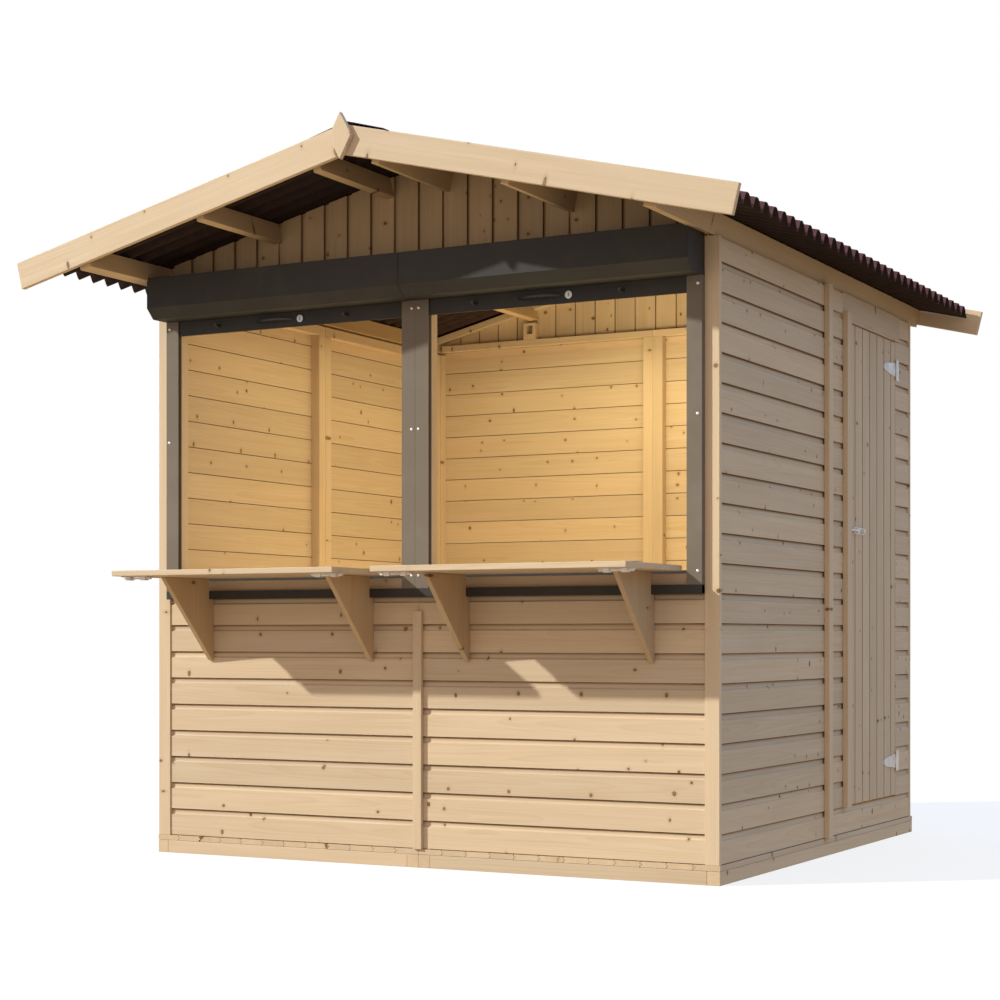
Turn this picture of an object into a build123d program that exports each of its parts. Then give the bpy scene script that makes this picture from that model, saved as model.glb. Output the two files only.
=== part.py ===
from build123d import *
import os
from math import atan, cos, degrees, hypot, pi, radians, sin

# A timber market hut with two serving hatches, roller shutters rolled up, folding counters and a
# side door. Millimetres. While the pieces are drawn, X runs across the front (0 in the middle),
# Y runs back from the face of the corner trims (0) and Z runs up from the ground (0).

# Clearances
SEAT = 0.3          # between pieces that rest on each other, and between solids of one node
RUN = 5.0           # around everything that swings

# Base and floor
base_width = 2218
base_depth = 2068
rail_height = 45
rail_width = 45
floor_board = 19
floor_joists = 4    # cross rails in each floor module

# Walls
board = 20          # thickness of the wall boards and of the trims
board_pitch = 96    # height of one wall board
side_inset = 4      # side walls stand this far inside the base
rear_inset = 13     # rear trims stand this far inside the base
wall_height = 2002  # from the floor to the top of the walls
lower_boards = 9    # boards under the hatches
stud_width = 45
stud_depth = 38
trim_width = 42     # cover strip over a joint between two wall panels
corner_width = 51
corner_lap = 2      # corner trims stand this far out over the side walls
front_set_back = 5      # front boards behind the face of the corner trims
front_trim_width = 34   # the strip over the joint of the front boards
front_trim_drop = 48    # from the sill down to its top

# Hatches
post_width = 53     # shutter guide, and the post behind it
guide_depth = 22
guide_slot_width = 12
guide_slot_depth = 18
sill_height = 29
sill_wall = 2
batten_height = 36
hatch_top = 1941    # underside of the shutter boxes
post_depth = 39

# Roller shutters
shutter_box_depth = 137
shutter_box_height = 145
shutter_chamfer = 36
shutter_sheet = 2
cap_thickness = 3
bar_height = 53
bar_thickness = 8
lock_radius = 13
lock_thickness = 5
key_slot_width = 2
key_slot_height = 10
key_slot_depth = 2
stop_radius = 9
stop_length = 22
stop_flange = 4
handle_span = 150
handle_bow = 26
handle_thickness = 7
stop_places = (177, 721)    # from the left edge of each hatch
handle_place = 420
lock_place = 530

# Counters
counter_inner_gap = 19      # to the middle guide
counter_outer_gap = 24      # to the outer guide
counter_reach = 432
counter_board = 19
bracket_insets = (119, 107)     # from the inner and the outer edge of the counter
bracket_thickness = 18
bracket_reach = 280
bracket_height = 294
bracket_tip = 10
bracket_end = 6             # height of the bracket's front end
bolt_setback = 65
bolt_inset = 2              # from the side edges of the counter
bolt_length = 118
bolt_plate_width = 34
bolt_plate_thickness = 2
bolt_bar_width = 10
bolt_bar_height = 6
keeper_inset = 18           # from the ends of the bolt to its keepers
keeper_length = 20
keeper_width = 22
keeper_height = 13

# Door, in the right wall
door_to_rear = 180          # wall between the opening and the rear corner trim
door_width = 593
door_height = 1803
door_batten_width = 50
door_batten_height = 1833
ledge_height = 95
ledge_setback = 25          # from the long edges of the leaf
ledge_from_end = 110        # middle of the outer ledges, from the ends of the leaf
hinge_heights = (300, 1850)
latch_height = 1190
latch_setback = 68          # from the free edge of the leaf to the plate
latch_length = 115
latch_plate_height = 25
latch_plate_thickness = 2
latch_keepers = (12, 85)    # along the plate
latch_keeper_length = 18
latch_keeper_height = 18
latch_keeper_reach = 14
latch_bar_length = 150
latch_bar_radius = 4.5
latch_bar_out = 8           # middle of the bar, from the plate's back
latch_knob_place = 55
latch_knob_radius = 3.5
latch_knob_length = 14
bar_setback = 3             # from the free edge of the leaf to the drawn-back bar

# Roof
slope = 0.243               # rise over run
eave_purlin_width = 45
inner_purlin_width = 28     # middle and ridge purlins
purlin_height = 70
ridge_purlin_at = 126
mid_purlin_at = 595
front_overhang = 461        # purlins and sheets
rear_overhang = 134         # beyond the rear trims
sheet_pitch = 80
sheet_rise = 40
sheet_thickness = 4
wave_steps = 8              # straight steps in one wave
eave = 1301
ridge_gap = 12
ridge_cap_reach = 140
ridge_cap_thickness = 3
ridge_cap_lift = 5          # its fold stands this far over the line of the crests
barge_height = 95
barge_thickness = 19
barge_reach = 1363
barge_above_sheets = 38     # top edge above the underside of the sheets
finial_width = 87
finial_height = 153
finial_above_barge = 36
gable_clearance = 2
gable_rail = 28             # rails of the gable frames
foot_rail_setback = 120     # front foot rail, from each end of the gable
rear_rail_lift = 12         # rear top rail over the top of the walls
packing_width = 60          # open block under each middle purlin, at the rear
packing_wall = 15
packing_foot = 25
packing_head = 10

# ---- planes and heights that follow ----------------------------------------------------------
pitch_angle = degrees(atan(slope))
pitch_cos = cos(radians(pitch_angle))
pitch_sin = sin(radians(pitch_angle))
floor_top = rail_height + floor_board
wall_top = floor_top + wall_height
half_base = base_width / 2
side_face = half_base - side_inset
side_inner = side_face - board
frame_inner = side_inner - stud_depth
trim_back = base_depth - rear_inset
rear_face = trim_back - board
rear_inner = rear_face - board
front_inner = front_set_back + board
side_frame_front = post_depth + SEAT
middle = (board + rear_face) / 2
sill_base = floor_top + lower_boards * board_pitch
sill_top = sill_base + sill_height
batten_top = sill_top + batten_height
corner_inner = side_face + corner_lap - corner_width
hatch_outer = corner_inner - post_width
counter_inner = post_width + counter_inner_gap
counter_outer = hatch_outer - counter_outer_gap
bracket_places = (counter_inner + bracket_insets[0], counter_outer - bracket_insets[1])
counter_base = batten_top + RUN + 3
door_rear = rear_face - door_to_rear
door_front = door_rear - door_width
door_sill = floor_top + board_pitch
door_top = door_sill + door_height
front_end = -front_overhang
rear_end = trim_back + rear_overhang
eave_purlin_at = half_base - eave_purlin_width / 2
# The lower corner of an eave purlin rests on the side wall, and that sets the height of the roof.
roof_peak = (wall_top + SEAT + pitch_cos * (purlin_height + SEAT)
             + pitch_sin * eave_purlin_width / 2 + slope * eave_purlin_at)
# Width of the purlin at each place.
PURLINS = {ridge_purlin_at: inner_purlin_width, mid_purlin_at: inner_purlin_width,
           eave_purlin_at: eave_purlin_width}
SIDES = {"left": -1, "right": 1}


def block(x, y, z):
    """A box from its two limits along X, Y and Z, each given in any order."""
    low = [min(pair) for pair in (x, y, z)]
    high = [max(pair) for pair in (x, y, z)]
    size = [b - a for a, b in zip(low, high)]
    return Pos(*low) * Box(*size, align=(Align.MIN, Align.MIN, Align.MIN))


def prism_y(points, y0, y1):
    """A solid whose outline of (x, z) points is drawn out from y0 to y1."""
    outline = Plane.XZ * make_face(Polyline(*points, close=True))
    return Pos(0, y0, 0) * extrude(outline, y0 - y1)


def prism_x(points, x0, x1):
    """A solid whose outline of (y, z) points is drawn out from x0 to x1."""
    outline = Plane.YZ * make_face(Polyline(*points, close=True))
    return Pos(x0, 0, 0) * extrude(outline, x1 - x0)


def rod(start, axis, length, radius):
    """A round bar from a start point along an axis."""
    place = Plane(origin=start, z_dir=axis)
    return place * Cylinder(radius, length, align=(Align.CENTER, Align.CENTER, Align.MIN))


def roof_z(x):
    """Height of the underside of the roof sheets."""
    return roof_peak - slope * abs(x)


# ---- floor -----------------------------------------------------------------------------------
def floor_rails(side):
    """One floor module: a rail along each side, and cross rails between them."""
    inner = SEAT / 2
    rails = [block((side * inner, side * rail_width), (0, base_depth), (0, rail_height)),
             block((side * (half_base - rail_width), side * half_base), (0, base_depth),
                   (0, rail_height))]
    step = (base_depth - rail_width) / (floor_joists - 1)
    for n in range(floor_joists):
        start = n * step
        rails.append(block((side * (rail_width + SEAT), side * (half_base - rail_width - SEAT)),
                           (start, start + rail_width), (0, rail_height)))
    return rails


def floor_deck(side):
    return [block((side * SEAT / 2, side * half_base), (0, base_depth), (rail_height, floor_top))]


# ---- walls -----------------------------------------------------------------------------------
def side_wall(side, y0, y1, low, high=wall_top):
    """A stretch of boarding in a side wall."""
    return block((side * side_inner, side * side_face), (y0, y1), (low, high))


def front_lower_wall(side):
    return [block((side * SEAT / 2, side * (corner_inner - SEAT)), (front_set_back, front_inner),
                  (floor_top, sill_base))]


def rear_wall(side):
    return [block((side * SEAT / 2, side * side_inner), (rear_inner, rear_face),
                  (floor_top, wall_top))]


def corner_trims(y0, y1):
    across = (corner_inner, side_face + corner_lap)
    return [block([side * x for x in across], (y0, y1), (floor_top, wall_top))
            for side in SIDES.values()]


def joint_trims():
    """Strips over the joints of the wall panels: front, rear, left and right."""
    front_half = front_trim_width / 2
    half = trim_width / 2
    trims = [block((-front_half, front_half),
                   (front_set_back - board, front_set_back),
                   (floor_top, sill_base - front_trim_drop)),
             block((-half, half), (rear_face, trim_back), (floor_top, wall_top))]
    for side in SIDES.values():
        trims.append(block((side * side_face, side * (side_face + board)),
                           (middle - half, middle + half), (floor_top, wall_top)))
    return trims


def frame_pieces(start, end, low, high, posts):
    """Limits, along the wall and in height, of a panel's studs and of the rail over them."""
    lowest = low + stud_depth + SEAT
    pieces = [((post, post + stud_width), (lowest, high - stud_depth - SEAT)) for post in posts]
    pieces.append(((start, end), (high - stud_depth, high)))
    return pieces


def frame_along_y(side, start, end, door_posts=(), foot_rails=None):
    """Frame of a side wall panel. A doorway has a post on each side and no rail at its foot."""
    across = (side * frame_inner, side * side_inner)
    posts = [start, *door_posts, end - stud_width]
    pieces = [block(across, along, z)
              for along, z in frame_pieces(start, end, floor_top, wall_top, posts)]
    for rail in foot_rails or [(start, end)]:
        pieces.append(block(across, rail, (floor_top, floor_top + stud_depth)))
    return pieces


def frame_along_x(side, start, end, y, high):
    """Frame of one half of the front or the rear wall."""
    posts = [start, end - stud_width]
    limits = frame_pieces(start, end, floor_top, high, posts)
    limits.append(((start, end), (floor_top, floor_top + stud_depth)))
    return [block((side * a, side * b), y, z) for (a, b), z in limits]


rear_stud_front = rear_inner - stud_depth
rear_rail_low = wall_top + rear_rail_lift


def left_wall_frame():
    return (frame_along_y(-1, side_frame_front, middle - SEAT / 2)
            + frame_along_y(-1, middle + SEAT / 2, rear_stud_front - SEAT))


def right_wall_frame():
    """As on the left, but the rear panel leaves the doorway free."""
    start = middle + SEAT / 2
    end = rear_stud_front - SEAT
    return (frame_along_y(1, side_frame_front, middle - SEAT / 2)
            + frame_along_y(1, start, end, (door_front - stud_width, door_rear),
                            [(start, door_front), (door_rear, end)]))


def front_wall_frame():
    """Frame of the low front wall, between the side walls' frames."""
    y = (front_inner, front_inner + stud_depth)
    return [piece for side in SIDES.values()
            for piece in frame_along_x(side, SEAT / 2, frame_inner - SEAT, y, sill_base)]


def rear_wall_frame():
    """The top rail stands a little over the walls, between the eave purlins."""
    y = (rear_stud_front, rear_inner)
    foot = (floor_top, floor_top + stud_depth)
    corner = side_inner - stud_width
    pieces = []
    for side in SIDES.values():
        for (start, end), z in (((SEAT / 2, side_inner), foot),
                                ((corner, side_inner), (foot[1] + SEAT, wall_top)),
                                ((SEAT / 2, stud_width), (foot[1] + SEAT, rear_rail_low - SEAT)),
                                ((SEAT / 2, corner), (rear_rail_low, rear_rail_low + gable_rail))):
            pieces.append(block((side * start, side * end), y, z))
    return pieces


# ---- hatches ---------------------------------------------------------------------------------
def hatch_posts():
    """Posts behind the shutter guides, two of them side by side in the middle."""
    posts = []
    for side in SIDES.values():
        posts.append(block((side * SEAT / 2, side * post_width), (0, post_depth),
                           (sill_top, hatch_top - SEAT)))
        posts.append(block((side * hatch_outer, side * (corner_inner - SEAT)), (0, post_depth),
                           (sill_top, hatch_top - SEAT)))
    return posts


def shutter_guides(side):
    """Two aluminium rails with a slot that faces the hatch."""
    slot_y = (-guide_depth / 2 - guide_slot_width / 2, -guide_depth / 2 + guide_slot_width / 2)
    rails = []
    for inner, slot in ((SEAT / 2, post_width), (corner_inner, hatch_outer)):
        outer = post_width if inner < post_width else hatch_outer
        towards = -1 if inner < post_width else 1
        rail = block((side * inner, side * outer), (-guide_depth, 0), (sill_top, hatch_top))
        rail -= block((side * slot, side * (slot + towards * guide_slot_depth)), slot_y,
                      (sill_top, hatch_top))
        rails.append(rail)
    return rails


def hatch_sill():
    """A hollow section under the guides and the battens."""
    length = (-corner_inner, corner_inner)
    outside = block(length, (-guide_depth, post_depth), (sill_base, sill_top))
    inside = block(length, (sill_wall - guide_depth, post_depth - sill_wall),
                   (sill_base + sill_wall, sill_top - sill_wall))
    return [outside - inside]


def sill_battens():
    return [block((side * (post_width + SEAT), side * (hatch_outer - SEAT)), (0, post_depth),
                  (sill_top, batten_top)) for side in SIDES.values()]


def front_header():
    return [block((-corner_inner + SEAT, corner_inner - SEAT), (0, post_depth),
                  (hatch_top, wall_top))]


def box_outline(inset):
    """Section of a shutter box, as (y, z) points, with its lower front edge cut off at 45 degrees."""
    cut = shutter_chamfer + inset * (2 - 2 ** 0.5)
    front = -shutter_box_depth + inset
    low = hatch_top + inset
    back = -SEAT - inset
    high = hatch_top + shutter_box_height - inset
    return [(back, low), (front + cut - inset, low), (front, low + cut - inset), (front, high),
            (back, high)]


def shutter_case(side):
    """A folded sheet casing, closed by caps at its ends."""
    ends = sorted((side * (cap_thickness + 2 * SEAT), side * (corner_inner - cap_thickness - SEAT)))
    return [prism_x(box_outline(0), *ends) - prism_x(box_outline(shutter_sheet), *ends)]


def shutter_caps():
    caps = []
    for side in SIDES.values():
        for start in (SEAT, corner_inner - cap_thickness):
            caps.append(prism_x(box_outline(0), *sorted((side * start,
                                                         side * (start + cap_thickness)))))
    return caps


bar_back = -guide_depth / 2 + bar_thickness / 2
bar_front = bar_back - bar_thickness
hatch_left = {"left": -hatch_outer, "right": post_width}


def shutter_bar(side):
    """The bar along the foot of the rolled-up curtain, with its ends in the guides' slots."""
    into_slot = guide_slot_depth - 4
    return [block((side * (post_width - into_slot), side * (hatch_outer + into_slot)),
                  (bar_front, bar_back), (hatch_top - bar_height, hatch_top - SEAT))]


bar_middle = hatch_top - bar_height / 2


def shutter_handles():
    """Bow handles: an arc between two feet that stand on the bar."""
    handles = []
    for left in hatch_left.values():
        x0 = left + handle_place - handle_span / 2
        x1 = left + handle_place + handle_span / 2
        y0 = bar_front - SEAT
        bow = ThreePointArc((x0, y0, bar_middle), (left + handle_place, y0 - handle_bow, bar_middle),
                            (x1, y0, bar_middle))
        section = Plane(origin=bow @ 0, z_dir=bow % 0) * Rectangle(handle_thickness,
                                                                   handle_thickness)
        grip = sweep(section, bow)
        behind_bar = block((x0 - handle_bow, x1 + handle_bow), (y0, y0 + handle_bow),
                           (bar_middle - handle_bow, bar_middle + handle_bow))
        handles.append(grip - behind_bar)
    return handles


def shutter_locks():
    """Round lock faces, each with a key slot."""
    locks = []
    for left in hatch_left.values():
        x = left + lock_place
        front = bar_front - SEAT - lock_thickness
        face = rod((x, bar_front - SEAT, bar_middle), (0, -1, 0), lock_thickness, lock_radius)
        slot = block((x - key_slot_width / 2, x + key_slot_width / 2), (front, front + key_slot_depth),
                     (bar_middle - key_slot_height / 2, bar_middle + key_slot_height / 2))
        locks.append(face - slot)
    return locks


def shutter_stops():
    """Short pegs that halt the curtain under its box, each with a flange."""
    stops = []
    for left in hatch_left.values():
        for place in stop_places:
            start = (left + place, bar_front - SEAT, bar_middle)
            stops.append(rod(start, (0, -1, 0), stop_flange, stop_radius)
                         + rod(start, (0, -1, 0), stop_length, stop_radius * 0.6))
    return stops


# ---- counters --------------------------------------------------------------------------------
counter_axis_z = counter_base - 2.5
knuckle_radius = 2.3
pin_radius = 1.0
leaf_thickness = 1.8
butt_width = 64
leaf_reach = 30
knuckle_gap = 0.5
fixed_leaf_lift = 6         # over the sill


def counter(side):
    return [block((side * counter_inner, side * counter_outer), (-counter_reach, 0),
                  (counter_base, counter_base + counter_board))]


def butt_centres(side):
    """The hinges stand beside the brackets, on the left of each."""
    beside = bracket_thickness / 2 + RUN + butt_width / 2
    return [side * place - beside for place in bracket_places]


def counter_hinge_leaves(side):
    """The moving leaves: a plate under the counter with the middle knuckle."""
    leaves = []
    third = butt_width / 3
    for x in butt_centres(side):
        left = x - third / 2 + knuckle_gap
        length = third - 2 * knuckle_gap
        thick = (counter_base - leaf_thickness, counter_base - SEAT / 3)
        plate = block((x - butt_width / 2, x + butt_width / 2), (-leaf_reach, -knuckle_radius - 1),
                      thick)
        neck = block((left, left + length), (-knuckle_radius - 2, 0), thick)
        knuckle = rod((left, 0, counter_axis_z), (1, 0, 0), length, knuckle_radius)
        hole = rod((x - third / 2, 0, counter_axis_z), (1, 0, 0), third, pin_radius + SEAT)
        leaves.append(plate + neck + knuckle - hole)
    return leaves


def counter_hinge_plates():
    """The fixed leaves on the sill battens, with the outer knuckles and the pin."""
    plates = []
    third = butt_width / 3
    for side in SIDES.values():
        for x in butt_centres(side):
            thick = (-leaf_thickness - SEAT / 3, -SEAT / 3)
            piece = block((x - butt_width / 2, x + butt_width / 2), thick,
                          (sill_top + fixed_leaf_lift,
                           counter_axis_z - knuckle_radius - knuckle_gap))
            for end in (-1, 1):
                left = x + end * third - third / 2 + knuckle_gap
                length = third - 2 * knuckle_gap
                piece += block((left, left + length), thick,
                               (counter_axis_z - knuckle_radius - 1, counter_axis_z))
                piece += rod((left, 0, counter_axis_z), (1, 0, 0), length, knuckle_radius)
            piece += rod((x - third, 0, counter_axis_z), (1, 0, 0), 2 * third, pin_radius)
            plates.append(piece)
    return plates


def counter_brackets(side):
    """Tapered boards under the counter, notched round the sill."""
    top = counter_base - SEAT
    low = counter_base - bracket_height
    back = front_set_back - SEAT
    notch = -guide_depth - SEAT
    points = [(back, low), (back - bracket_tip, low), (-bracket_reach, top - bracket_end),
              (-bracket_reach, top), (notch, top), (notch, sill_base - SEAT),
              (back, sill_base - SEAT)]
    return [prism_x(points, side * place - bracket_thickness / 2,
                    side * place + bracket_thickness / 2) for place in bracket_places]


def slide_bolts(side):
    """Flat slide bolts under the front corners of the counter."""
    bolts = []
    y = -counter_reach + bolt_setback
    top = counter_base - SEAT
    bar_top = top - (keeper_height - bolt_bar_height) / 2
    for edge, inward in ((counter_inner, 1), (counter_outer, -1)):
        start = side * (edge + inward * bolt_inset)
        low, high = sorted((start, start + side * inward * bolt_length))
        bolt = block((low, high), (y - bolt_plate_width / 2, y + bolt_plate_width / 2),
                     (top - bolt_plate_thickness, top))
        bolt += block((low, high), (y - bolt_bar_width / 2, y + bolt_bar_width / 2),
                      (bar_top - bolt_bar_height, bar_top))
        for keeper in (low + keeper_inset, high - keeper_inset - keeper_length):
            bolt += block((keeper, keeper + keeper_length), (y - keeper_width / 2, y + keeper_width / 2),
                          (top - keeper_height, top))
        bolts.append(bolt)
    return bolts


# ---- door ------------------------------------------------------------------------------------
leaf_front = door_front + RUN + 1
leaf_rear = door_rear - RUN
leaf_low = door_sill + RUN + 1
leaf_high = door_top - RUN
strap_thickness = 3
strap_length = 148
strap_root = 55
strap_tip = 30
plate_height = 82
plate_width = 35
barrel_radius = 5
door_axis_x = side_face + SEAT + strap_thickness + 3
door_axis_y = (leaf_rear + door_rear) / 2
door_pin_radius = 2.2


def door_leaf():
    return [block((side_inner, side_face), (leaf_front, leaf_rear), (leaf_low, leaf_high))]


def door_ledges():
    """Three ledges across the inside of the leaf."""
    places = (leaf_low + ledge_from_end, (leaf_low + leaf_high) / 2, leaf_high - ledge_from_end)
    along = (leaf_front + ledge_setback, leaf_rear - ledge_setback)
    return [block((side_inner - board, side_inner), along,
                  (z - ledge_height / 2, z + ledge_height / 2)) for z in places]


def hinge_straps():
    """T hinges, moving half: a strap that tapers along the leaf, and the middle of the barrel."""
    straps = []
    x = side_face + SEAT
    for z in hinge_heights:
        middle_half = plate_height / 6
        outline = [(door_axis_y - barrel_radius - 1.5, z - strap_root / 2),
                   (door_axis_y - barrel_radius - 1.5, z + strap_root / 2),
                   (door_axis_y - strap_length + 12, z + strap_tip / 2),
                   (door_axis_y - strap_length, z + strap_tip / 4),
                   (door_axis_y - strap_length, z - strap_tip / 4),
                   (door_axis_y - strap_length + 12, z - strap_tip / 2)]
        strap = prism_x(outline, x, x + strap_thickness)
        strap += block((x, x + strap_thickness),
                       (door_axis_y - barrel_radius - 3, door_axis_y),
                       (z - middle_half + 0.5, z + middle_half - 0.5))
        strap += rod((door_axis_x, door_axis_y, z - middle_half + 0.5), (0, 0, 1),
                     2 * middle_half - 1, barrel_radius)
        strap -= rod((door_axis_x, door_axis_y, z - middle_half - 1), (0, 0, 1),
                     2 * middle_half + 2, door_pin_radius + SEAT)
        straps.append(strap)
    return straps


def hinge_plates():
    """T hinges, fixed half: a plate on the wall, the outer barrels and the pin."""
    plates = []
    x = side_face + SEAT
    for z in hinge_heights:
        middle_half = plate_height / 6
        plate = block((x, x + strap_thickness),
                      (door_axis_y + barrel_radius + 1, door_axis_y + barrel_radius + plate_width),
                      (z - plate_height / 2, z + plate_height / 2))
        for low, high in ((z - plate_height / 2, z - middle_half), (z + middle_half,
                                                                   z + plate_height / 2)):
            plate += rod((door_axis_x, door_axis_y, low), (0, 0, 1), high - low, barrel_radius)
            plate += block((x, x + strap_thickness),
                           (door_axis_y, door_axis_y + barrel_radius + 3), (low, high))
        plate += rod((door_axis_x, door_axis_y, z - plate_height / 2), (0, 0, 1), plate_height,
                     door_pin_radius)
        plates.append(plate)
    return plates


def door_latch():
    """A slide bolt across the free edge of the leaf, drawn back."""
    x = side_face + SEAT
    y0 = leaf_front + latch_setback
    latch = block((x, x + latch_plate_thickness), (y0, y0 + latch_length),
                  (latch_height - latch_plate_height / 2, latch_height + latch_plate_height / 2))
    for place in latch_keepers:
        latch += block((x, x + latch_keeper_reach), (y0 + place, y0 + place + latch_keeper_length),
                       (latch_height - latch_keeper_height / 2, latch_height + latch_keeper_height / 2))
    latch += rod((x + latch_bar_out, leaf_front + bar_setback, latch_height), (0, 1, 0),
                 latch_bar_length, latch_bar_radius)
    latch += rod((x + latch_bar_out, y0 + latch_knob_place, latch_height), (1, 0, 0),
                 latch_knob_length, latch_knob_radius)
    return [latch]


def door_batten():
    return [block((side_face, side_face + board), (door_front - door_batten_width, door_front),
                  (door_sill, door_sill + door_batten_height))]


# ---- roof ------------------------------------------------------------------------------------
def under_sheets(side, place, width, y, height, grow=0.0):
    """A bar square to the slope, its top face under the sheets and centred on a place along X."""
    bar = Box(width + 2 * grow, y[1] - y[0], height + 2 * grow)
    centre_down = height / 2 + SEAT
    x = place - pitch_sin * centre_down
    z = roof_z(place) - pitch_cos * centre_down
    return Pos(side * x, (y[0] + y[1]) / 2, z) * Rot(0, side * pitch_angle, 0) * bar


def purlin(side, place, grow=0.0):
    """A purlin, as long as the roof."""
    return under_sheets(side, place, PURLINS[place], (front_end, rear_end), purlin_height, grow)


def purlin_pair(place):
    return [purlin(side, place) for side in SIDES.values()]


def eave_purlins():
    """Their lower inner corners are notched round the tops of the shutter boxes."""
    box_top = hatch_top + shutter_box_height
    boxes = block((-corner_inner - SEAT, corner_inner + SEAT), (-shutter_box_depth - SEAT, 0),
                  (hatch_top, box_top + SEAT))
    return [bar - boxes for bar in purlin_pair(eave_purlin_at)]


def gable_skin(y0, y1):
    """The boarded triangle over a wall, notched round the purlins."""
    half = side_inner - eave_purlin_width
    points = [(-half, wall_top), (half, wall_top), (half, roof_z(half) - gable_clearance),
              (0, roof_peak - gable_clearance), (-half, roof_z(half) - gable_clearance)]
    skin = prism_y(points, y0, y1)
    for place in PURLINS:
        for side in SIDES.values():
            skin -= purlin(side, place, grow=SEAT)
    return [skin]


def stud_top(width):
    """Height of a stud of this width that carries a middle purlin."""
    under_purlin = roof_z(mid_purlin_at) - (purlin_height + SEAT) / pitch_cos
    return under_purlin - slope * width / 2 - 2 * SEAT


def rafters(y):
    """Rails along the slope of a gable, between its purlins."""
    rails = []
    for low, high in zip(list(PURLINS)[:-1], list(PURLINS)[1:]):
        start = low / pitch_cos + PURLINS[low] / 2 + SEAT
        end = high / pitch_cos - PURLINS[high] / 2 - SEAT
        centre = (start + end) / 2 * pitch_cos
        rails += [under_sheets(side, centre, end - start, y, gable_rail) for side in SIDES.values()]
    return rails


def front_gable_frame():
    """A rail along the foot, a stud under each middle purlin, and the rafters."""
    y = (board, board + stud_depth)
    foot_top = wall_top + stud_depth
    half = side_inner - eave_purlin_width - foot_rail_setback
    pieces = [block((-half, half), y, (wall_top, foot_top))]
    for side in SIDES.values():
        stud = (side * mid_purlin_at - stud_width / 2, side * mid_purlin_at + stud_width / 2)
        pieces.append(block(stud, y, (foot_top + SEAT, stud_top(stud_width))))
    return pieces + rafters(y)


def rear_gable_frame():
    """The rafters, and an open packing block under each middle purlin, on the top rail."""
    y = (rear_stud_front, rear_inner)
    low = rear_rail_low + gable_rail + SEAT
    high = stud_top(packing_width)
    outer = packing_width / 2
    pieces = []
    for side in SIDES.values():
        centre = side * mid_purlin_at
        whole = block((centre - outer, centre + outer), y, (low, high))
        opening = block((centre - outer + packing_wall, centre + outer - packing_wall), y,
                        (low + packing_foot, high - packing_head))
        pieces.append(whole - opening)
    return pieces + rafters(y)


def wave_line(height):
    """Points (y, z) along the waves of a sheet, from the front end to the rear end."""
    points = []
    for n in range(sheet_count * wave_steps + 1):
        lift = (1 - cos(2 * pi * n / wave_steps)) / 2
        points.append((sheet_front + n * sheet_pitch / wave_steps, height + sheet_rise * lift))
    return points


sheet_count = int((rear_end - front_end) // sheet_pitch)
sheet_front = (front_end + rear_end - sheet_count * sheet_pitch) / 2


def roof_sheet(side):
    """A corrugated sheet whose waves run down the slope from the ridge to the eave."""
    outline = wave_line(0) + wave_line(sheet_thickness)[::-1]
    section = Plane.YZ * make_face(Polyline(*outline, close=True))
    length = hypot(eave - ridge_gap, slope * (eave - ridge_gap))
    sheet = extrude(section, length, dir=Vector(side * pitch_cos, 0, -pitch_sin))
    return [Pos(side * ridge_gap, 0, roof_z(ridge_gap)) * sheet]


def ridge_cap():
    """A folded strip over the ridge. Its edges rest on the crests."""
    fold = roof_peak + sheet_rise + sheet_thickness + ridge_cap_lift
    edge = roof_z(ridge_cap_reach) + sheet_rise + sheet_thickness + SEAT
    reach = ridge_cap_reach
    points = [(-reach, edge), (0, fold), (reach, edge), (reach, edge + ridge_cap_thickness),
              (0, fold + ridge_cap_thickness), (-reach, edge + ridge_cap_thickness)]
    return [prism_y(points, front_end + 1, rear_end - 1)]


def barge_board(side, y0, y1):
    """A board along the slope, plumb at the ridge and cut square at its foot."""
    top = roof_peak + barge_above_sheets
    drop = barge_height / pitch_cos
    inner = SEAT / 2
    end_z = top - slope * barge_reach
    points = [(side * inner, top - slope * inner), (side * barge_reach, end_z),
              (side * (barge_reach - barge_height * pitch_sin), end_z - barge_height * pitch_cos),
              (side * inner, top - drop - slope * inner)]
    return [prism_y(points, y0, y1)]


def finial(y0, y1):
    """A pointed block over the joint of the barge boards."""
    half = finial_width / 2
    top = roof_peak + barge_above_sheets + finial_above_barge
    shoulder = top - finial_height / 2
    points = [(0, top - finial_height), (half, shoulder), (0, top), (-half, shoulder)]
    return [prism_y(points, y0, y1)]


barge_front = (front_end - barge_thickness, front_end)
barge_rear = (rear_end, rear_end + barge_thickness)

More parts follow.
